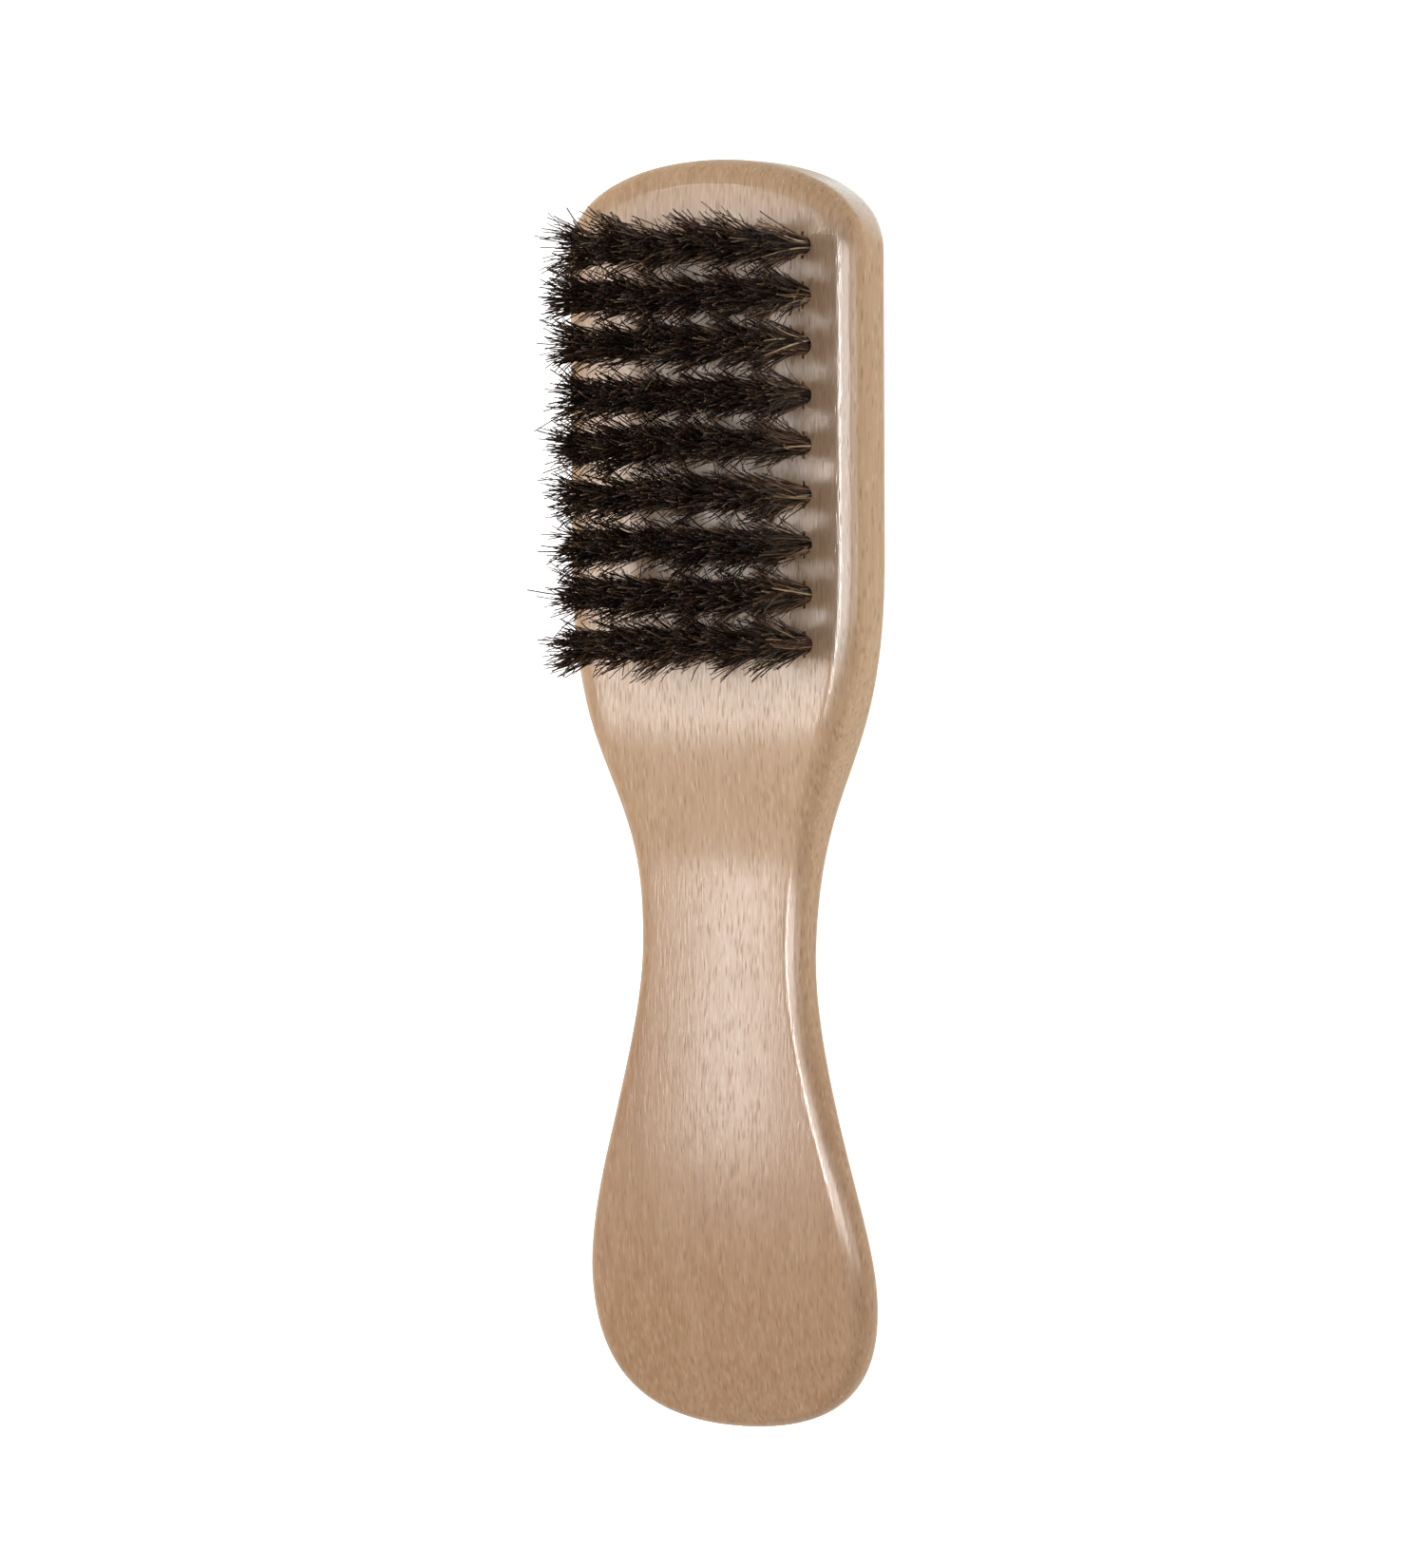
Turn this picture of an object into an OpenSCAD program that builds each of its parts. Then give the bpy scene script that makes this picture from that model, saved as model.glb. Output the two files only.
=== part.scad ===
// Beard brush: a one-piece wooden paddle with natural bristle tufts in blind holes.
// It lies on its back. +X is across the brush, +Y runs from the butt to the head, +Z is the way
// the bristles point. The origin is on the bench plane, half way along the length.

/* [Handle body] */
// Length from the end of the butt to the top of the head
body_l = 178; // [174:1:200]
// Greatest width of the head
head_w = 46.2; // [44:0.1:54]
// Width of the neck at its narrowest
neck_w = 25.6; // [22:0.1:32]
// Greatest width of the butt
butt_w = 44; // [38:0.5:52]
// Height of the rounded crown at the top of the head
crown_h = 14; // [11:0.5:18]

/* [Side profile] */
// Thickness of the head, from the bench to its flat front face
head_t = 11.5; // [10.5:0.5:14]
// Height of the front face in the dip below the head
dip_h = 9.3; // [8:0.1:10]
// Height of the front face at the crest of the grip
crest_h = 10.1; // [9:0.1:11]
// Height of the front face at the very end of the butt
end_h = 3.2; // [2.6:0.1:6]
// Height of the arch under the grip
arch_h = 3.5; // [0.5:0.1:3.8]

/* [Edges] */
// Radius of the rounded edges at the head
head_edge_r = 3.4; // [2:0.1:4.5]
// Radius of the rounded edges at the neck
neck_edge_r = 2.6; // [1.5:0.1:3]
// Radius of the rounded edges at the butt
butt_edge_r = 3.2; // [1.5:0.1:3.5]

/* [Bristle field] */
// Rows of tufts along the head
rows = 9; // [3:1:9]
// Columns of tufts across the head
columns = 6; // [2:1:6]
// Distance between two rows
row_pitch = 6.9; // [6.2:0.1:7]
// Distance between two columns
column_pitch = 6; // [5.8:0.1:6.4]
// Distance from the top of the head to the first row
first_row_inset = 12.3; // [12:0.1:15]

/* [Holes and tufts] */
// Diameter of the blind holes
hole_d = 2.6; // [2.4:0.1:3]
// Depth of the blind holes
hole_depth = 7; // [5:0.5:8]
// Free length of the bristles above the front face
bristle_l = 17; // [12:0.5:24]
// Diameter of a tuft at its tip
tip_d = 5.2; // [3.2:0.1:5.4]

/* [Anchors] */
// Thickness of the flat anchor wire
anchor_t = 0.4; // [0.3:0.05:0.5]
// Height of the flat anchor wire
anchor_h = 1.6; // [1:0.1:2]
// Length of an anchor, across the hole and into the wood on both sides
anchor_l = 3.8; // [3.4:0.1:4.4]
// Height of an anchor above the bottom of its hole
anchor_lift = 0.8; // [0.5:0.1:1.2]

/* [Hidden] */
$fn = 32;
rim_steps = 5;
// Steps round the crown, and along each of the three curves below it
crown_steps = 14;
curve_steps = 11;
// Powers of the crown's curve across and along the brush: 2 and 2 would make it an ellipse
across_power = 2;
along_power = 2.6;
// How sharply the front face falls from the crest of the grip to the end of the butt
fall_power = 2.4;
// Part of the local thickness that one rounded edge may take up
max_edge_share = 0.44;
// Clearance round a tuft in its hole and at the anchor in its fold
tuft_gap = 0.03;
// Height of the domed end of a tuft
dome_h = 1.2;
// Height of the bevel at the folded end of a tuft
fold_h = 0.5;

// Stations along the brush, measured from the butt
heel_y = 0.028 * body_l;
butt_y = 0.112 * body_l;
arch_y = 0.22 * body_l;
crest_y = 0.27 * body_l;
neck_y = 0.382 * body_l;
dip_y = 0.435 * body_l;
arch_end_y = 0.575 * body_l;
shoulder_y = 0.57 * body_l;
head_y = 0.69 * body_l;
crown_y = body_l - crown_h;
first_row_y = body_l - first_row_inset;
hole_floor_z = head_t - hole_depth;
anchor_z = hole_floor_z + anchor_lift;

function tuft_name(row, column) = str("tuft_r", row, "_c", column);

// ---------- curves ----------

// A smooth step from 0 to 1 while t goes from 0 to 1
function ease(t) = let (u = max(0, min(1, t))) u * u * (3 - 2 * u);

// The value at y of a smooth step from a at y0 to b at y1
function blend(y, y0, a, y1, b) = a + (b - a) * ease((y - y0) / (y1 - y0));

// A point, and the direction, of the cubic curve with control points p
function bezier(p, t) = pow(1 - t, 3) * p[0] + 3 * pow(1 - t, 2) * t * p[1]
    + 3 * (1 - t) * t * t * p[2] + pow(t, 3) * p[3];
function bezier_dir(p, t) = pow(1 - t, 2) * (p[1] - p[0]) + 2 * (1 - t) * t * (p[2] - p[1])
    + t * t * (p[3] - p[2]);

// ---------- side profile ----------

function grip_front_z(y) = y > crest_y
    ? blend(y, crest_y, crest_h, dip_y, dip_h)
    : crest_h - (crest_h - end_h) * pow((crest_y - y) / crest_y, fall_power);

function front_z(y) = y > dip_y ? blend(y, dip_y, dip_h, shoulder_y, head_t) : grip_front_z(y);

function back_z(y) = y > arch_y
    ? blend(y, arch_y, arch_h, arch_end_y, 0)
    : blend(y, heel_y, 0, arch_y, arch_h);

function wanted_edge_r(y) = y > neck_y
    ? blend(y, neck_y, neck_edge_r, head_y, head_edge_r)
    : blend(y, butt_y, butt_edge_r, neck_y, neck_edge_r);

function edge_r(y) = min(wanted_edge_r(y), max_edge_share * (front_z(y) - back_z(y)));

// ---------- outline ----------

// Each entry of the outline is a point and its outward normal

// The crown, a squared-up ellipse: angle 0 is its middle and 90 its right end
function crown_edge(angle) = let (
    across = pow(sin(angle), 2 / across_power),
    along = pow(cos(angle), 2 / along_power),
    outward = [
        across_power * pow(across, across_power - 1) / (head_w / 2),
        along_power * pow(along, along_power - 1) / crown_h
    ]
) [[across * head_w / 2, crown_y + along * crown_h], outward / norm(outward)];

// The shoulder, the grip and the butt, as three curves down the right side
SIDE_CURVES = let (
    head_x = head_w / 2,
    neck_x = neck_w / 2,
    butt_x = butt_w / 2,
    waist = head_y - neck_y,
    grip = neck_y - butt_y
) [
    [[head_x, head_y], [head_x, head_y - 0.55 * waist], [neck_x, neck_y + 0.46 * waist], [neck_x, neck_y]],
    [[neck_x, neck_y], [neck_x, neck_y - 0.32 * grip], [butt_x, butt_y + 0.27 * grip], [butt_x, butt_y]],
    [[butt_x, butt_y], [butt_x, 0.4 * butt_y], [0.76 * butt_x, 0], [0, 0]]
];

function curve_edge(curve, t) = let (
    along = bezier_dir(curve, t)
) [bezier(curve, t), [-along[1], along[0]] / norm(along)];

// Down the right side, from the top of the crown to the end of the butt
RIGHT_SIDE = concat(
    [for (step = [0:crown_steps]) crown_edge(90 * step / crown_steps)],
    [curve_edge(SIDE_CURVES[0], 0)],
    [for (curve = SIDE_CURVES) for (step = [1:curve_steps]) curve_edge(curve, step / curve_steps)]
);

side_points = len(RIGHT_SIDE);
ring_points = 2 * side_points - 2;

// The whole outline: down the right side, then back up the left side
OUTLINE = concat(
    RIGHT_SIDE,
    [for (i = [side_points - 2:-1:1]) [for (v = RIGHT_SIDE[i]) [-v[0], v[1]]]]
);

// ---------- rounded edges ----------

// A point on the rounded edge: angle 0 is on the side wall and 90 is on the face
function rim_point(edge, angle, front) = let (
    r = edge_r(edge[0][1]),
    p = edge[0] - edge[1] * r * (1 - cos(angle)),
    drop = r * (1 - sin(angle))
) [p[0], p[1], front ? front_z(p[1]) - drop : back_z(p[1]) + drop];

function ring(angle, front) = [for (edge = OUTLINE) rim_point(edge, angle, front)];

// Rings of points from the flat of the back, round both edges, to the flat of the front
RINGS = concat(
    [for (step = [rim_steps:-1:0]) ring(90 * step / rim_steps, false)],
    [for (step = [0:rim_steps]) ring(90 * step / rim_steps, true)]
);

// The point across the brush from point i of a ring
function across(i) = (ring_points - i) % ring_points;

// Faces that close the ring whose first point is number first: each spans the brush from side to
// side, and the two at the ends are triangles
function cap(first) = [
    for (i = [0:side_points - 2])
        let (quad = [i, i + 1, across(i + 1), across(i)])
        [for (k = [0:3]) if (quad[k] != quad[(k + 1) % 4]) first + quad[k]]
];

function reversed(list) = [for (i = [len(list) - 1:-1:0]) list[i]];

module paddle() {
    last_ring = len(RINGS) - 1;
    walls = [
        for (k = [0:last_ring - 1])
            for (i = [0:ring_points - 1])
                let (j = (i + 1) % ring_points, lower = k * ring_points, upper = lower + ring_points)
                [lower + i, lower + j, upper + j, upper + i]
    ];
    back = [for (face = cap(0)) reversed(face)];
    front = cap(last_ring * ring_points);
    points = [for (one_ring = RINGS) for (p = one_ring) p];
    polyhedron(points, concat(walls, back, front), convexity = 6);
}

// ---------- tuft field ----------

module at_tuft(row, column) {
    x = (column - (columns + 1) / 2) * column_pitch;
    translate([x, first_row_y - (row - 1) * row_pitch, 0]) children();
}

module at_every_tuft() {
    for (row = [1:rows])
        for (column = [1:columns])
            at_tuft(row, column) children();
}

// A block that stands on the anchor's level, with its length along the brush
module anchor_block(thickness, length, bottom, height) {
    translate([-thickness / 2, -length / 2, bottom]) cube([thickness, length, height]);
}

// The blind hole, and the slit that the anchor cuts as it is driven in
module tuft_seat() {
    above = 1;
    translate([0, 0, hole_floor_z]) cylinder(d = hole_d, h = hole_depth + above);
    anchor_block(anchor_t, anchor_l, anchor_z, head_t - anchor_z + above);
}

// ---------- sub-parts ----------

// The origin of the part is half way along its length
module place() {
    translate([0, -body_l / 2, 0]) children();
}

module handle_body() {
    color("#dcbd9f") place() difference() {
        paddle();
        at_every_tuft() tuft_seat();
    }
}

// The flat wires in the folds of the tufts
module anchor_wires() {
    color("silver") place() at_every_tuft() anchor_block(anchor_t, anchor_l, anchor_z, anchor_h);
}

// A folded bundle of bristles: straight in its hole, then opening out to a domed end
module tuft(row, column) {
    root_r = hole_d / 2 - tuft_gap;
    tip_r = tip_d / 2;
    tip_z = head_t + bristle_l;
    profile = [
        [0, hole_floor_z],
        [root_r - fold_h, hole_floor_z],
        [root_r, hole_floor_z + fold_h],
        [root_r, head_t],
        [tip_r, tip_z - dome_h],
        [0.6 * tip_r, tip_z],
        [0, tip_z]
    ];
    color("#33271f") place() at_tuft(row, column) difference() {
        rotate_extrude() polygon(profile);
        anchor_block(anchor_t + 2 * tuft_gap, hole_d + 1, anchor_z - tuft_gap, anchor_h + 2 * tuft_gap);
    }
}

handle_body();
anchor_wires();
for (row = [1:rows]) {
    for (column = [1:columns]) {
        tuft(row, column);
    }
}
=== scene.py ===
"""Looks of the beard brush: a varnished beech paddle with natural bristle tufts in blind holes.

The brush lies on its back on a pale floor. +X is across it, +Y runs from the butt to the head and
+Z is the way the bristles point. Lengths are in metres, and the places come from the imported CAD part.
"""

import math

import bpy
import numpy as np
from mathutils import Matrix, Vector


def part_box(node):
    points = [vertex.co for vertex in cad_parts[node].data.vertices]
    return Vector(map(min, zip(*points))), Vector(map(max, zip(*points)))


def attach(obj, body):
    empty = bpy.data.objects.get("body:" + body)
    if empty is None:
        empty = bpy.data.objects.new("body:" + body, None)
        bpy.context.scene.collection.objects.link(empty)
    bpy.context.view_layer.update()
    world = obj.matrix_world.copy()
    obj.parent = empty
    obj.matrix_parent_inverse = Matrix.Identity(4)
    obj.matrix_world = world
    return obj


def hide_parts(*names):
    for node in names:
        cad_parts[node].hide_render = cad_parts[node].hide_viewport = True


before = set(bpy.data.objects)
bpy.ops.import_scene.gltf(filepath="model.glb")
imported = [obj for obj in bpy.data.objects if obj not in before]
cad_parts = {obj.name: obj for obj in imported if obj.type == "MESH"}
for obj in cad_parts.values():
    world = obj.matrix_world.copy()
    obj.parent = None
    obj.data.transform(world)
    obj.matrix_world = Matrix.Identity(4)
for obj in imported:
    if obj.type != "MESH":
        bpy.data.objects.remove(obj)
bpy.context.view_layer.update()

MM = 0.001
# A length too small to matter, which keeps a division away from zero
TINY = MM / 100

# ---------- sizes of the body, read off the CAD part where it has them ----------

BODY_LOW, BODY_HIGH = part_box("handle_body")
BODY_L = BODY_HIGH.y - BODY_LOW.y
HEAD_W = BODY_HIGH.x - BODY_LOW.x
HEAD_T = BODY_HIGH.z - BODY_LOW.z
NECK_W = 25.6 * MM
BUTT_W = 44 * MM
CROWN_H = 14 * MM
DIP_H = 9.3 * MM
CREST_H = 10.1 * MM
END_H = 3.2 * MM
ARCH_H = 3.5 * MM
HEAD_EDGE_R = 3.4 * MM
NECK_EDGE_R = 2.6 * MM
BUTT_EDGE_R = 3.2 * MM
MAX_EDGE_SHARE = 0.44
ACROSS_POWER = 2
ALONG_POWER = 2.6
FALL_POWER = 2.4

# Stations along the brush, measured from the butt
HEEL_Y = 0.028 * BODY_L
BUTT_Y = 0.112 * BODY_L
ARCH_Y = 0.22 * BODY_L
CREST_Y = 0.27 * BODY_L
NECK_Y = 0.382 * BODY_L
DIP_Y = 0.435 * BODY_L
ARCH_END_Y = 0.575 * BODY_L
SHOULDER_Y = 0.57 * BODY_L
HEAD_Y = 0.69 * BODY_L
CROWN_Y = BODY_L - CROWN_H

# ---------- sizes of the holes, the slits and the tufts ----------

TUFTS = sorted(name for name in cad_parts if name.startswith("tuft_"))
HOLE_D = 2.6 * MM
HOLE_FLOOR_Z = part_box(TUFTS[0])[0].z
TIP_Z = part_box(TUFTS[0])[1].z
SLIT_T = 0.4 * MM
SLIT_L = 3.8 * MM
ANCHOR_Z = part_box("anchor_wires")[0].z

# ---------- side profile, with y measured from the butt ----------


def ease(t):
    """A smooth step from 0 to 1 while t goes from 0 to 1."""
    u = np.clip(t, 0, 1)
    return u * u * (3 - 2 * u)


def blend(y, y0, a, y1, b):
    """The value at y of a smooth step from a at y0 to b at y1."""
    return a + (b - a) * ease((y - y0) / (y1 - y0))


def front_z(y):
    """Height of the front face."""
    fall = np.clip((CREST_Y - y) / CREST_Y, 0, 1) ** FALL_POWER
    butt = CREST_H - (CREST_H - END_H) * fall
    grip = np.where(y > CREST_Y, blend(y, CREST_Y, CREST_H, DIP_Y, DIP_H), butt)
    return np.where(y > DIP_Y, blend(y, DIP_Y, DIP_H, SHOULDER_Y, HEAD_T), grip)


def back_z(y):
    """Height of the back face."""
    arch = blend(y, HEEL_Y, 0, ARCH_Y, ARCH_H)
    return np.where(y > ARCH_Y, blend(y, ARCH_Y, ARCH_H, ARCH_END_Y, 0), arch)


def edge_r(y):
    """Radius of the rounded edges."""
    upper = blend(y, NECK_Y, NECK_EDGE_R, HEAD_Y, HEAD_EDGE_R)
    lower = blend(y, BUTT_Y, BUTT_EDGE_R, NECK_Y, NECK_EDGE_R)
    wanted = np.where(y > NECK_Y, upper, lower)
    return np.minimum(wanted, MAX_EDGE_SHARE * (front_z(y) - back_z(y)))


# ---------- outline, as points and outward normals ----------

CROWN_STEPS = 40
STRAIGHT_STEPS = 14
CURVE_STEPS = 30


def crown_outline():
    """A squared-up ellipse, from the top of the head to its right side."""
    angle = np.linspace(0, math.pi / 2, CROWN_STEPS + 1)
    across = np.sin(angle) ** (2 / ACROSS_POWER)
    along = np.cos(angle) ** (2 / ALONG_POWER)
    points = np.stack([across * HEAD_W / 2, CROWN_Y + along * CROWN_H], axis=1)
    outward_x = ACROSS_POWER * across ** (ACROSS_POWER - 1) / (HEAD_W / 2)
    outward_y = ALONG_POWER * along ** (ALONG_POWER - 1) / CROWN_H
    outward = np.stack([outward_x, outward_y], axis=1)
    return points, outward / np.linalg.norm(outward, axis=1, keepdims=True)


def curve_outline(corners, steps):
    """One cubic curve, without its first point."""
    p = np.array(corners)
    t = np.linspace(0, 1, steps + 1)[1:, None]
    s = 1 - t
    points = s**3 * p[0] + 3 * s**2 * t * p[1] + 3 * s * t**2 * p[2] + t**3 * p[3]
    along = s**2 * (p[1] - p[0]) + 2 * s * t * (p[2] - p[1]) + t**2 * (p[3] - p[2])
    outward = np.stack([-along[:, 1], along[:, 0]], axis=1)
    return points, outward / np.linalg.norm(outward, axis=1, keepdims=True)


def side_curves():
    """Corners and steps of the cubic curves that make the right side below the crown."""
    head_x, neck_x, butt_x = HEAD_W / 2, NECK_W / 2, BUTT_W / 2
    third = (CROWN_Y - HEAD_Y) / 3
    waist = HEAD_Y - NECK_Y
    grip = NECK_Y - BUTT_Y
    straight = [
        [head_x, CROWN_Y],
        [head_x, CROWN_Y - third],
        [head_x, HEAD_Y + third],
        [head_x, HEAD_Y],
    ]
    shoulder = [
        [head_x, HEAD_Y],
        [head_x, HEAD_Y - 0.55 * waist],
        [neck_x, NECK_Y + 0.46 * waist],
        [neck_x, NECK_Y],
    ]
    flank = [
        [neck_x, NECK_Y],
        [neck_x, NECK_Y - 0.32 * grip],
        [butt_x, BUTT_Y + 0.27 * grip],
        [butt_x, BUTT_Y],
    ]
    end = [
        [butt_x, BUTT_Y],
        [butt_x, 0.4 * BUTT_Y],
        [0.76 * butt_x, 0],
        [0, 0],
    ]
    curved = [(curve, CURVE_STEPS) for curve in (shoulder, flank, end)]
    return [(straight, STRAIGHT_STEPS)] + curved


def right_outline():
    """The right side of the brush, from the top of the crown to the end of the butt."""
    parts = [crown_outline()]
    parts += [curve_outline(corners, steps) for corners, steps in side_curves()]
    points, outward = zip(*parts)
    return np.concatenate(points), np.concatenate(outward)


def both_sides(right):
    """The values of the right side, then the same mirrored, back up the left side."""
    return np.vstack([right, right[-2:0:-1] * [-1, 1]])


# ---------- meshes and objects ----------


def new_mesh(name, vertices, faces):
    mesh = bpy.data.meshes.new(name)
    mesh.from_pydata(vertices, [], faces)
    return mesh


def merged_mesh(name, solids):
    """One mesh from several pairs of points and faces."""
    vertices, faces = [], []
    for points, polygons in solids:
        start = len(vertices)
        vertices += points.tolist()
        faces += [tuple(start + corner for corner in polygon) for polygon in polygons]
    return new_mesh(name, vertices, faces)


def add_object(name, mesh):
    piece = bpy.data.objects.new(name, mesh)
    bpy.context.scene.collection.objects.link(piece)
    return piece


def smooth_below(mesh, degrees):
    """Shades the mesh smooth, apart from edges that turn by more than this angle."""
    mesh.shade_smooth()
    mesh.set_sharp_from_angle(angle=math.radians(degrees))


def wall_faces(rings, sides):
    """Faces between each ring of points and the next one."""
    faces = []
    for k in range(rings - 1):
        lower, upper = k * sides, (k + 1) * sides
        for i in range(sides):
            j = (i + 1) % sides
            faces.append((lower + i, lower + j, upper + j, upper + i))
    return faces


def tube_faces(rings, sides):
    """The ends and the walls of a closed tube, whose rings of points run from bottom to top."""
    last = (rings - 1) * sides
    ends = [tuple(reversed(range(sides))), tuple(range(last, last + sides))]
    return ends + wall_faces(rings, sides)


def lathe(profile, centre, sides):
    """Points and faces of a closed turned shape, from (radius, height) pairs, bottom to top."""
    turn = np.linspace(0, 2 * math.pi, sides, endpoint=False)
    rings = []
    for r, z in profile:
        x = centre[0] + r * np.cos(turn)
        y = centre[1] + r * np.sin(turn)
        rings.append(np.column_stack([x, y, np.full(sides, z)]))
    return np.concatenate(rings), tube_faces(len(profile), sides)


def block(centre, width, length, bottom, top):
    """Points and faces of an upright block."""
    x, y = centre
    w, h = width / 2, length / 2
    corners = [(x - w, y - h), (x + w, y - h), (x + w, y + h), (x - w, y + h)]
    points = [(a, b, z) for z in (bottom, top) for a, b in corners]
    return np.array(points), tube_faces(2, 4)


def cut(piece, cutter_mesh):
    """Takes the shape of another mesh out of a piece."""
    cutter = add_object("cutter", cutter_mesh)
    modifier = piece.modifiers.new("cut", "BOOLEAN")
    modifier.operation = "DIFFERENCE"
    modifier.solver = "EXACT"
    modifier.object = cutter
    bpy.context.view_layer.update()
    evaluated = piece.evaluated_get(bpy.context.evaluated_depsgraph_get())
    cut_mesh = bpy.data.meshes.new_from_object(evaluated)
    piece.modifiers.clear()
    piece.data = cut_mesh
    bpy.data.objects.remove(cutter)


# ---------- wooden body ----------

RIM_STEPS = 9
CAP_COLUMNS = 24
# Radius of the slight crown across the grip, which the CAD part leaves flat
GRIP_CROWN_R = 155 * MM
# Rise of the faint dome at the top of the head, and how far in from the rounded edge it is complete
DOME_H = 0.12 * MM
DOME_W = 6 * MM
# Radius of the rounded lip of a hole, and how far in its middle point lies, as a part of that
LIP_R = 0.12 * MM
LIP_MIDDLE = 0.3
HOLE_SIDES = 40
BODY_SMOOTH_ANGLE = 20


def rim_ring(points, outward, angle, front):
    """One ring of points on the rounded edge: angle 0 is on the side wall, a right angle on the face."""
    r = edge_r(points[:, 1])[:, None]
    flat = points - outward * r * (1 - math.cos(angle))
    drop = r[:, 0] * (1 - math.sin(angle))
    z = front_z(flat[:, 1]) - drop if front else back_z(flat[:, 1]) + drop
    return np.column_stack([flat, z])


def swell(rows, half_width, border):
    """How far the front face stands above its border: the grip's crown and the head's dome."""
    y = rows[:, :, 1]
    grip = ease((SHOULDER_Y - y) / (SHOULDER_Y - NECK_Y))
    across = rows[:, :, 0] / half_width
    crown = half_width**2 / (2 * GRIP_CROWN_R) * (1 - across**2)
    gap = np.linalg.norm(rows[:, :, None, :2] - border[None, None, :, :2], axis=3).min(axis=2)
    dome = DOME_H * (1 - (1 - np.clip(gap / DOME_W, 0, 1)) ** 2)
    return grip * crown + ease((y - HEAD_Y) / (CROWN_Y - HEAD_Y)) * dome


def face_rows(ring, side, front):
    """Inner points of a face, in rows that run from the ring's left side to its right side."""
    share = np.linspace(0, 1, CAP_COLUMNS + 1)[1:-1]
    left = np.vstack([ring[0], ring[side:][::-1], ring[side - 1]])
    right = ring[:side]
    rows = left[:, None, :] + (right - left)[:, None, :] * share[None, :, None]
    if front:
        rows[:, :, 2] += swell(rows, np.maximum(right[:, 0:1], TINY), ring)
    return rows[1:-1]


def face_grid(start, count, side, first_inner, inner):
    """Numbers of a face's points, row by row, with the ring's own points at the ends of each row."""
    grid = [[start]]
    for i in range(1, side - 1):
        middle = [first_inner + (i - 1) * inner + k for k in range(inner)]
        grid.append([start + count - i] + middle + [start + i])
    grid.append([start + side - 1])
    return grid


def grid_faces(grid):
    """Faces between the rows of a grid that starts and ends in a single point."""
    faces = []
    for upper, lower in zip(grid, grid[1:]):
        if len(upper) == 1:
            faces += [(upper[0], b, a) for a, b in zip(lower, lower[1:])]
        elif len(lower) == 1:
            faces += [(a, b, lower[0]) for a, b in zip(upper, upper[1:])]
        else:
            faces += [(a, b, d, c) for a, b, c, d in zip(upper, upper[1:], lower, lower[1:])]
    return faces


def paddle_mesh():
    """The paddle without its holes: rings round its edges, then a grid of points over each face."""
    points, outward = right_outline()
    side = len(points)
    points, outward = both_sides(points), both_sides(outward)
    count = len(points)
    angles = np.linspace(0, math.pi / 2, RIM_STEPS + 1)
    rings = [rim_ring(points, outward, angle, False) for angle in angles[::-1]]
    rings += [rim_ring(points, outward, angle, True) for angle in angles]
    vertices = list(np.concatenate(rings))
    faces = wall_faces(len(rings), count)
    for number, front in ((0, False), (len(rings) - 1, True)):
        rows = face_rows(rings[number], side, front)
        grid = face_grid(number * count, count, side, len(vertices), rows.shape[1])
        vertices += list(rows.reshape(-1, 3))
        face = grid_faces(grid)
        faces += face if front else [polygon[::-1] for polygon in face]
    vertices = np.array(vertices) - [0, BODY_L / 2, 0]
    mesh = new_mesh("body", vertices.tolist(), faces)
    mesh.validate()
    return mesh


def tuft_centre(name):
    low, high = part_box(name)
    return (low.x + high.x) / 2, (low.y + high.y) / 2


def hole_profile(top):
    """A blind hole, whose rounded lip lies in the dome's height and so fades out down the head."""
    r = HOLE_D / 2
    face = HEAD_T + DOME_H
    return [
        (r, HOLE_FLOOR_Z),
        (r, face - LIP_R),
        (r + LIP_MIDDLE * LIP_R, face - LIP_MIDDLE * LIP_R),
        (r + LIP_R, face),
        (r + LIP_R, top),
    ]


def build_body(material):
    body = add_object("wooden_body", paddle_mesh())
    top = HEAD_T + 2 * MM
    hole = hole_profile(top)
    centres = [tuft_centre(name) for name in TUFTS]
    cut(body, merged_mesh("holes", [lathe(hole, c, HOLE_SIDES) for c in centres]))
    cut(body, merged_mesh("slits", [block(c, SLIT_T, SLIT_L, ANCHOR_Z, top) for c in centres]))
    smooth_below(body.data, BODY_SMOOTH_ANGLE)
    body.data.materials.clear()
    body.data.materials.append(material)
    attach(body, "root")
    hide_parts("handle_body")


# ---------- bristles ----------

SEED = 54
HAIRS_PER_TUFT = 200
HAIR_RINGS = 8
HAIR_SIDES = 3
HAIR_R = 0.095 * MM
HAIR_SMOOTH_ANGLE = 80
# Radius at the tip, as a part of the radius at the root
TIP_TAPER = 0.85

# The tip of a tuft is this many times as wide as its root, before the scatter below
FLARE = 2.05
CLUMPS_PER_TUFT = 16
CLUMP_SCATTER = 0.75 * MM
HAIR_SCATTER = 0.35 * MM
TUFT_SCATTER = 0.3 * MM
STRAY_SHARE = 0.32
STRAY_SCATTER = 1.25 * MM
# Less lean across the brush than along it
LEAN_STRETCH = [0.6, 1.2]
MAX_LEAN = 3.2 * MM
# Power of the hair's height that the lean grows with
LEAN_POWER = 0.95
# How far a hair bows out half way up, and how far its tip is hooked over
BOW_SCATTER = 0.3 * MM
INWARD_BOW = 0.1
HOOK_SCATTER = 1.0 * MM

# How far the hairs end below the CAD tufts' tips, and by how many millimetres more the short ones do
TIP_DROP = 1.4 * MM
TIP_SCATTER = 1.3 * MM
SHORT_SHARE = 0.2
SHORT_BY = (1, 8)

# Each hair's shade is a random number to this power, and hairs paler than PALE_SHADE are thicker
SHADE_POWER = 0.72
PALE_SHADE = 0.87
PALE_WIDTH = 1.3
TIP_DARKENING = 0.13


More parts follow.
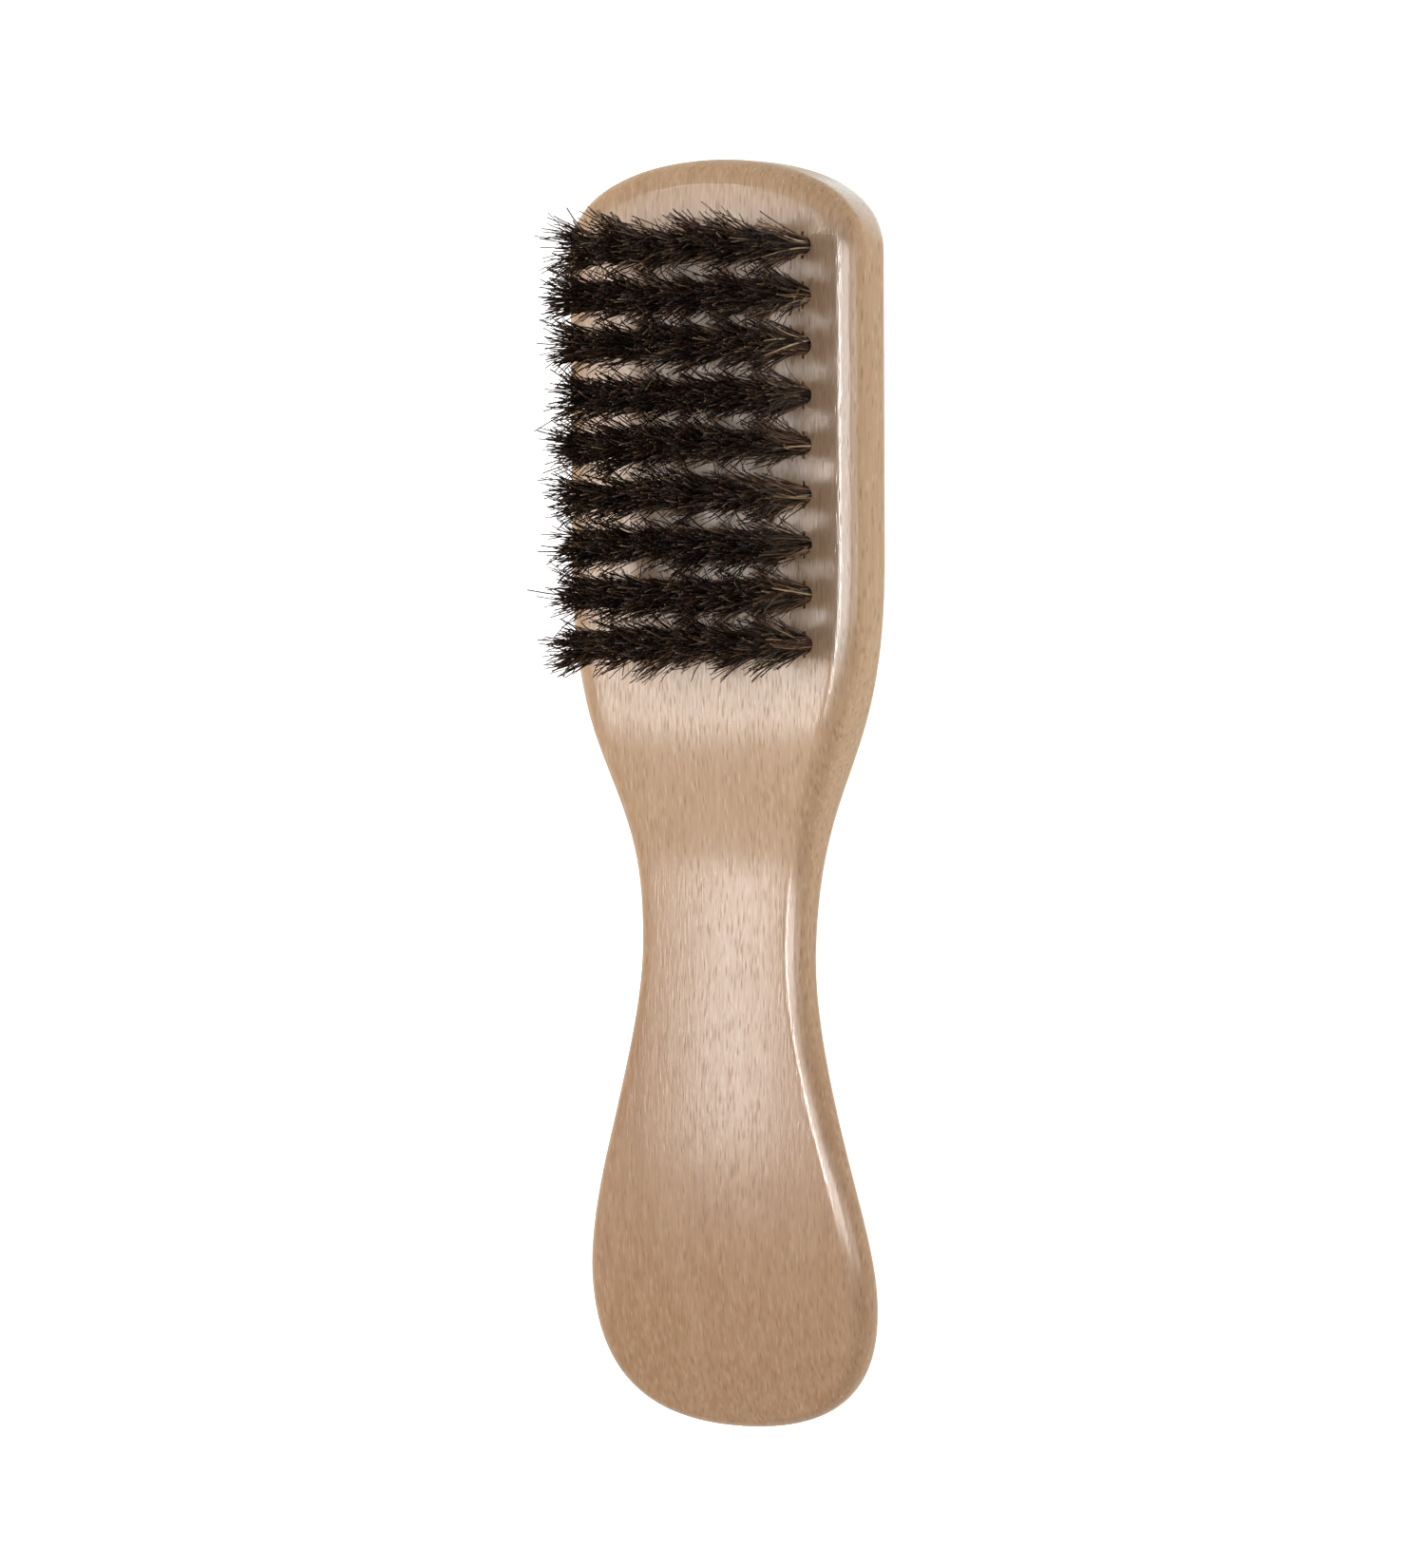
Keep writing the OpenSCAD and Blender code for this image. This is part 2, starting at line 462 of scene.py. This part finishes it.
def scatter(rng, count, radius):
    """Points spread evenly over a disc."""
    turn = rng.uniform(0, 2 * math.pi, count)
    reach = radius * np.sqrt(rng.uniform(0, 1, count))
    return np.column_stack([np.cos(turn), np.sin(turn)]) * reach[:, None]


def hair_leans(root, rng):
    """How far each hair's tip stands out from its root: an even flare, clumps, and strays."""
    count = len(root)
    clump_root = scatter(rng, CLUMPS_PER_TUFT, HOLE_D / 2)
    clump_lean = rng.normal(0, CLUMP_SCATTER, (CLUMPS_PER_TUFT, 2))
    nearest = np.linalg.norm(root[:, None] - clump_root[None], axis=2).argmin(axis=1)
    lean = root * (FLARE - 1) + clump_lean[nearest] + rng.normal(0, HAIR_SCATTER, (count, 2))
    stray = rng.uniform(0, 1, count) < STRAY_SHARE
    lean[stray] += rng.normal(0, STRAY_SCATTER, (stray.sum(), 2))
    lean = lean * LEAN_STRETCH + rng.normal(0, TUFT_SCATTER, 2)
    reach = np.linalg.norm(lean, axis=1, keepdims=True)
    return lean * np.minimum(1, MAX_LEAN / np.maximum(reach, TINY))


def hair_tops(rng, count):
    """Heights of the hairs' tips: ragged, with some hairs much shorter."""
    top = TIP_Z - TIP_DROP - np.abs(rng.normal(0, TIP_SCATTER, count))
    short = rng.uniform(0, 1, count) < SHORT_SHARE
    return top - np.where(short, rng.uniform(*SHORT_BY, count) * MM, 0)


def hair_paths(centre, rng):
    """Centre lines of the hairs of one tuft, as points by (hair, ring, xyz)."""
    count = HAIRS_PER_TUFT
    root = scatter(rng, count, HOLE_D / 2 - HAIR_R)
    lean = hair_leans(root, rng)
    bow = rng.normal(0, BOW_SCATTER, (count, 2)) - INWARD_BOW * lean
    hook = rng.normal(0, HOOK_SCATTER, (count, 2))
    top = hair_tops(rng, count)
    path = np.zeros((count, HAIR_RINGS, 3))
    path[:, 0, :2] = root
    path[:, 0, 2] = HOLE_FLOOR_Z + 0.5 * MM
    start = HEAD_T - 0.6 * MM
    for k, t in enumerate(np.linspace(0, 1, HAIR_RINGS - 1), start=1):
        path[:, k, :2] = root + lean * t**LEAN_POWER + bow * math.sin(math.pi * t) + hook * t**3
        path[:, k, 2] = start + (top - start) * t
    path[:, :, :2] += centre
    return path


def hair_points(path, radius, rng):
    """Points of thin tubes round the centre lines, by (hair, ring, side, xyz)."""
    turn = rng.uniform(0, 2 * math.pi, len(path))[:, None]
    turn = turn + np.linspace(0, 2 * math.pi, HAIR_SIDES, endpoint=False)
    ring = np.stack([np.cos(turn), np.sin(turn), np.zeros_like(turn)], axis=2)
    taper = np.concatenate([[1], np.linspace(1, TIP_TAPER, HAIR_RINGS - 1)])
    size = radius[:, None] * taper
    return path[:, :, None, :] + ring[:, None, :, :] * size[:, :, None, None]


def store_shade(mesh, shade):
    """Keeps each hair's shade, a little darker towards its tip, for the bristle material to read."""
    along = 1 - TIP_DARKENING * np.linspace(0, 1, HAIR_RINGS) ** 2
    values = shade[:, None] * np.repeat(along, HAIR_SIDES)
    attribute = mesh.attributes.new("shade", "FLOAT", "POINT")
    attribute.data.foreach_set("value", values.ravel().astype(np.float32))


def tuft_mesh(name, centre, rng):
    path = hair_paths(centre, rng)
    shade = rng.uniform(0, 1, HAIRS_PER_TUFT) ** SHADE_POWER
    width = np.where(shade > PALE_SHADE, PALE_WIDTH, 1)
    radius = HAIR_R * rng.uniform(0.75, 1.2, HAIRS_PER_TUFT) * width
    points = hair_points(path, radius, rng).reshape(-1, 3)
    hair = tube_faces(HAIR_RINGS, HAIR_SIDES)
    starts = range(0, len(points), HAIR_RINGS * HAIR_SIDES)
    faces = [tuple(start + corner for corner in face) for start in starts for face in hair]
    mesh = new_mesh(name, points.tolist(), faces)
    store_shade(mesh, shade)
    smooth_below(mesh, HAIR_SMOOTH_ANGLE)
    return mesh


def build_tufts(material):
    """Makes the hairs of every tuft, from one fixed seed."""
    rng = np.random.default_rng(SEED)
    for name in TUFTS:
        mesh = tuft_mesh(name, tuft_centre(name), rng)
        tuft = add_object(name.replace("tuft_", "bristles_"), mesh)
        tuft.data.materials.append(material)
        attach(tuft, "root")
        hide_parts(name)


# ---------- anchors ----------


def dress_anchors(material):
    """Gives the CAD part's own anchor wires, which are shown as they are, their steel."""
    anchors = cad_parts["anchor_wires"]
    anchors.data.materials.clear()
    anchors.data.materials.append(material)


# ---------- nodes that the materials share ----------


def link(tree, out_socket, in_socket):
    tree.links.new(out_socket, in_socket)


def node_material(name):
    """A material that has only a principled shader and its output."""
    material = bpy.data.materials.new(name)
    material.use_nodes = True
    tree = material.node_tree
    tree.nodes.clear()
    shader = tree.nodes.new("ShaderNodeBsdfPrincipled")
    output = tree.nodes.new("ShaderNodeOutputMaterial")
    link(tree, shader.outputs[0], output.inputs[0])
    return material, tree, shader


def place_coordinates(tree, per_metre):
    """The place on the object, scaled by so many units per metre along x, y and z."""
    place = tree.nodes.new("ShaderNodeTexCoord")
    scale = tree.nodes.new("ShaderNodeMapping")
    scale.inputs["Scale"].default_value = per_metre
    link(tree, place.outputs["Object"], scale.inputs["Vector"])
    return scale.outputs[0]


def noise(tree, per_metre, detail, distortion=0.0):
    texture = tree.nodes.new("ShaderNodeTexNoise")
    texture.inputs["Scale"].default_value = 1.0
    texture.inputs["Detail"].default_value = detail
    texture.inputs["Distortion"].default_value = distortion
    link(tree, place_coordinates(tree, per_metre), texture.inputs["Vector"])
    return texture.outputs["Fac"]


def remap(tree, value, low, high, to_low, to_high):
    """value, moved from the range low..high to the range to_low..to_high, and kept in it."""
    node = tree.nodes.new("ShaderNodeMapRange")
    for socket, number in zip(node.inputs[1:5], (low, high, to_low, to_high)):
        socket.default_value = number
    link(tree, value, node.inputs[0])
    return node.outputs[0]


def fill_sockets(tree, pairs):
    """Sets each socket to a number or a colour, or links it to another node's output."""
    for socket, value in pairs:
        if isinstance(value, (int, float)):
            socket.default_value = value
        elif isinstance(value, tuple):
            socket.default_value = (*value, 1)
        else:
            link(tree, value, socket)


def maths(tree, operation, a, b):
    node = tree.nodes.new("ShaderNodeMath")
    node.operation = operation
    fill_sockets(tree, zip(node.inputs, (a, b)))
    return node.outputs[0]


def mix_colour(tree, factor, a, b, how="MIX"):
    node = tree.nodes.new("ShaderNodeMix")
    node.data_type = "RGBA"
    node.blend_type = how
    fill_sockets(tree, ((node.inputs["Factor"], factor), (node.inputs[6], a), (node.inputs[7], b)))
    return node.outputs[2]


def streaks(tree, per_metre, detail, low, distortion=0.0):
    """Noise stretched from low..1-low to 0..1."""
    return remap(tree, noise(tree, per_metre, detail, distortion), low, 1 - low, 0, 1)


def flecks(tree, per_metre, radius, softness):
    """1 inside small lens-shaped spots scattered through the wood, and 0 outside them."""
    cells = tree.nodes.new("ShaderNodeTexVoronoi")
    cells.inputs["Scale"].default_value = 1.0
    link(tree, place_coordinates(tree, per_metre), cells.inputs["Vector"])
    return remap(tree, cells.outputs["Distance"], radius, radius + softness, 1, 0)


# ---------- materials ----------

# Painted light: the wood is painted paler towards the head, where more light falls, from the first of
# these places to the second, measured in y
PAINTED_LIGHT_FROM = -36 * MM
PAINTED_LIGHT_TO = 0.0
PAINTED_LIGHT_TINT = (1.18, 1.26, 1.30)
GRAIN_DEPTH = 0.02 * MM


def wood_material():
    """Steamed beech under a satin varnish: figure, growth lines, fibres and ray flecks, all along y."""
    material, tree, shader = node_material("varnished_beech")
    figure = streaks(tree, (85, 9, 60), 4, 0.35, 0.8)
    growth = streaks(tree, (520, 13, 520), 4, 0.3, 0.4)
    strand = streaks(tree, (1500, 75, 1500), 3, 0.32)
    fibre = streaks(tree, (3700, 290, 2500), 2, 0.32)
    ray_fleck = flecks(tree, (2700, 310, 900), 0.14, 0.2)
    pale_fleck = flecks(tree, (2300, 330, 900), 0.14, 0.2)

    wood = mix_colour(tree, figure, (0.61, 0.345, 0.182), (0.68, 0.41, 0.235))
    layers = [
        (growth, 0.5, (0.51, 0.27, 0.13)),
        (strand, 0.38, (0.80, 0.53, 0.33)),
        (fibre, 0.30, (0.40, 0.21, 0.105)),
        (pale_fleck, 0.42, (0.84, 0.58, 0.38)),
        (ray_fleck, 0.46, (0.31, 0.155, 0.078)),
    ]
    for pattern, weight, colour in layers:
        wood = mix_colour(tree, maths(tree, "MULTIPLY", pattern, weight), wood, colour)
    # Painted light: the colour turns paler towards the head, standing in for more light falling there
    split = tree.nodes.new("ShaderNodeSeparateXYZ")
    link(tree, place_coordinates(tree, (1, 1, 1)), split.inputs[0])
    painted_light = remap(tree, split.outputs["Y"], PAINTED_LIGHT_FROM, PAINTED_LIGHT_TO, 0, 1)
    wood = mix_colour(tree, painted_light, wood, mix_colour(tree, 1.0, wood, PAINTED_LIGHT_TINT, "MULTIPLY"))
    link(tree, wood, shader.inputs["Base Color"])

    bump = tree.nodes.new("ShaderNodeBump")
    bump.inputs["Strength"].default_value = 0.5
    bump.inputs["Distance"].default_value = GRAIN_DEPTH
    link(tree, maths(tree, "SUBTRACT", fibre, ray_fleck), bump.inputs["Height"])
    link(tree, bump.outputs[0], shader.inputs["Normal"])
    link(tree, bump.outputs[0], shader.inputs["Coat Normal"])

    shader.inputs["Roughness"].default_value = 0.5
    shader.inputs["Specular IOR Level"].default_value = 0.15
    shader.inputs["Coat Weight"].default_value = 1.0
    shader.inputs["Coat Roughness"].default_value = 0.2
    shader.inputs["Coat IOR"].default_value = 1.5
    return material


# Colours of the hairs by their shade: nearly black, reddish brown, then straw
BRISTLE_COLOURS = [
    (0.0, (0.006, 0.004, 0.003)),
    (0.40, (0.014, 0.008, 0.006)),
    (0.55, (0.055, 0.022, 0.012)),
    (0.80, (0.13, 0.06, 0.03)),
    (0.87, (0.36, 0.25, 0.14)),
    (1.0, (0.74, 0.62, 0.42)),
]


def bristle_material():
    """Boar bristle, coloured by the shade that each hair keeps in its mesh."""
    material, tree, shader = node_material("boar_bristle")
    shade = tree.nodes.new("ShaderNodeAttribute")
    shade.attribute_name = "shade"
    ramp = tree.nodes.new("ShaderNodeValToRGB")
    ramp.color_ramp.interpolation = "LINEAR"
    elements = ramp.color_ramp.elements
    while len(elements) < len(BRISTLE_COLOURS):
        elements.new(0.5)
    for element, (position, colour) in zip(elements, BRISTLE_COLOURS):
        element.position = position
        element.color = (*colour, 1)
    link(tree, shade.outputs["Fac"], ramp.inputs[0])
    mottle = remap(tree, noise(tree, (900, 900, 260), 2), 0.3, 0.7, 0.6, 1.5)
    value = tree.nodes.new("ShaderNodeHueSaturation")
    link(tree, ramp.outputs[0], value.inputs["Color"])
    link(tree, mottle, value.inputs["Value"])
    link(tree, value.outputs[0], shader.inputs["Base Color"])
    shader.inputs["Roughness"].default_value = 0.46
    shader.inputs["Specular IOR Level"].default_value = 0.36
    return material


def anchor_material():
    """Drawn flat wire: steel with fine marks along its length."""
    material, tree, shader = node_material("anchor_wire_steel")
    drawn = streaks(tree, (9000, 400, 9000), 2, 0.35)
    steel = mix_colour(tree, drawn, (0.42, 0.40, 0.37), (0.62, 0.60, 0.57))
    link(tree, steel, shader.inputs["Base Color"])
    link(tree, remap(tree, drawn, 0, 1, 0.28, 0.42), shader.inputs["Roughness"])
    shader.inputs["Metallic"].default_value = 1.0
    return material


def floor_material():
    """A matt floor that glows, so that it stays nearly white."""
    material, tree, shader = node_material("pale_floor")
    shader.inputs["Base Color"].default_value = (0.9, 0.9, 0.9, 1)
    shader.inputs["Roughness"].default_value = 0.9
    shader.inputs["Emission Color"].default_value = (1, 1, 1, 1)
    shader.inputs["Emission Strength"].default_value = 0.85
    return material


# ---------- floor and world ----------

FLOOR_SIZE = 6
TENT_RADIANCE = 0.29
BENCH_RADIANCE = 0.75
BENCH_TINT = (1, 0.93, 0.80)
# Heights of the direction at which the bench ends and the tent begins: -1 is straight down
BENCH_END = -0.15
TENT_START = 0.05


def build_floor():
    """The floor is only for the camera to see: it casts no light or shadow and isn't mirrored."""
    bpy.ops.mesh.primitive_plane_add(size=FLOOR_SIZE)
    floor = bpy.context.object
    floor.name = "floor"
    floor.data.materials.append(floor_material())
    floor.visible_diffuse = False
    floor.visible_glossy = False
    floor.visible_shadow = False


def build_world():
    """A dim white tent above, and the brighter and warmer light that a bench sends up from below."""
    world = bpy.data.worlds.new("studio")
    world.use_nodes = True
    tree = world.node_tree
    direction = tree.nodes.new("ShaderNodeTexCoord")
    split = tree.nodes.new("ShaderNodeSeparateXYZ")
    link(tree, direction.outputs["Generated"], split.inputs[0])
    height = split.outputs["Z"]
    strength = remap(tree, height, BENCH_END, TENT_START, BENCH_RADIANCE, TENT_RADIANCE)
    warmth = remap(tree, height, BENCH_END, TENT_START, 1, 0)
    background = tree.nodes["Background"]
    link(tree, mix_colour(tree, warmth, (1, 1, 1), BENCH_TINT), background.inputs["Color"])
    link(tree, strength, background.inputs["Strength"])
    bpy.context.scene.world = world


# ---------- lights ----------

# Each box spans angles from +Z, in degrees: first those across the brush, then those along it
KEY_ACROSS = (-30.5, -19.5)
KEY_ALONG = (-7, 8)
KEY_TAIL_ALONG = (-18, -7)
KEY_DISTANCE = 1.5
FILL_DISTANCE = 1.4
FILLS = [
    ("fill", (-62, -34), (-14, 22), 2.4),
    ("side_fill", (42, 76), (-14, 16), 1.3),
]
EDGE_DISTANCE = 2.0
EDGE_ALONG = (-8, 8)
EDGES = [
    ("edge_bright", (2, 9), 36),
    ("edge_soft", (9, 48), 8),
    ("edge_low", (48, 80), 2.5),
]
UNDER_HEAD_SIZE = 0.25
UNDER_HEAD_PLACE = (0.03, 0.24, -0.3)
UNDER_HEAD_TINT = (0.6, 0.85, 1)
UNDER_HEAD_RADIANCE = 0.8


def area_light(name, width, length, radiance):
    """A rectangular light that shines along its own -Z."""
    data = bpy.data.lights.new(name, "AREA")
    data.shape = "RECTANGLE"
    data.size = width
    data.size_y = length
    data.energy = 4 * radiance * width * length
    light = bpy.data.objects.new(name, data)
    bpy.context.scene.collection.objects.link(light)
    return light


def light_panel(name, across, along, distance, radiance):
    """A soft box that faces the middle of the brush and spans about these angles, seen from there."""
    x_low, x_high, y_low, y_high = (math.tan(math.radians(v)) for v in (*across, *along))
    facing = Vector(((x_low + x_high) / 2, (y_low + y_high) / 2, 1)).normalized()
    width = distance * math.radians(across[1] - across[0])
    length = distance * math.radians(along[1] - along[0])
    light = area_light(name, width, length, radiance)
    up = (Vector((0, 1, 0)) - facing * facing.y).normalized()
    light.matrix_world = Matrix((up.cross(facing), up, facing)).transposed().to_4x4()
    light.location = facing * distance
    return light


def under_head_light():
    """A cool panel below the head that is seen only in reflections: the sheen of the upper right rim."""
    light = area_light("under_head", UNDER_HEAD_SIZE, UNDER_HEAD_SIZE, UNDER_HEAD_RADIANCE)
    light.data.color = UNDER_HEAD_TINT
    light.location = UNDER_HEAD_PLACE
    light.rotation_euler = (math.pi, 0, 0)
    light.visible_diffuse = False


def build_lights():
    """A key that the flat faces mirror, its dim tail towards the butt, fills that nothing mirrors, and
    boxes that light nothing and are only mirrored, by the rounded edges."""
    light_panel("key", KEY_ACROSS, KEY_ALONG, KEY_DISTANCE, 9.4)
    for name, across, along, radiance in FILLS:
        fill = light_panel(name, across, along, FILL_DISTANCE, radiance)
        fill.visible_glossy = False
    light_panel("key_tail", KEY_ACROSS, KEY_TAIL_ALONG, KEY_DISTANCE, 1.4)
    for name, across, radiance in EDGES:
        edge = light_panel(name, across, EDGE_ALONG, EDGE_DISTANCE, radiance)
        edge.visible_diffuse = False
    under_head_light()


# ---------- camera ----------

# Turns of the camera, in degrees, and how far off the picture's middle the brush's middle lies
CAMERA_YAW = 28.0
CAMERA_PITCH = 2.18
CAMERA_ROLL = 0.26
CAMERA_DISTANCE = 1.0739
CAMERA_OFFSET = Vector((0.00494, -0.00157, 0))
CAMERA_LENS = 175.1
CAMERA_SENSOR = 36


def build_camera():
    """The camera stands to the right of the brush, nearly level with the middle of its length."""
    to_camera = (
        Matrix.Rotation(math.radians(CAMERA_ROLL), 3, "Z")
        @ Matrix.Rotation(math.radians(CAMERA_PITCH), 3, "X")
        @ Matrix.Rotation(math.radians(-CAMERA_YAW), 3, "Y")
    )
    data = bpy.data.cameras.new("camera")
    data.lens = CAMERA_LENS
    data.sensor_width = CAMERA_SENSOR
    camera = bpy.data.objects.new("camera", data)
    rotation = to_camera.transposed()
    camera.matrix_world = rotation.to_4x4()
    camera.location = rotation @ (Vector((0, 0, CAMERA_DISTANCE)) - CAMERA_OFFSET)
    bpy.context.scene.collection.objects.link(camera)
    bpy.context.scene.camera = camera


# ---------- the scene ----------

build_body(wood_material())
dress_anchors(anchor_material())
build_tufts(bristle_material())
build_floor()
build_world()
build_lights()
build_camera()
bpy.context.scene.view_settings.view_transform = "Standard"
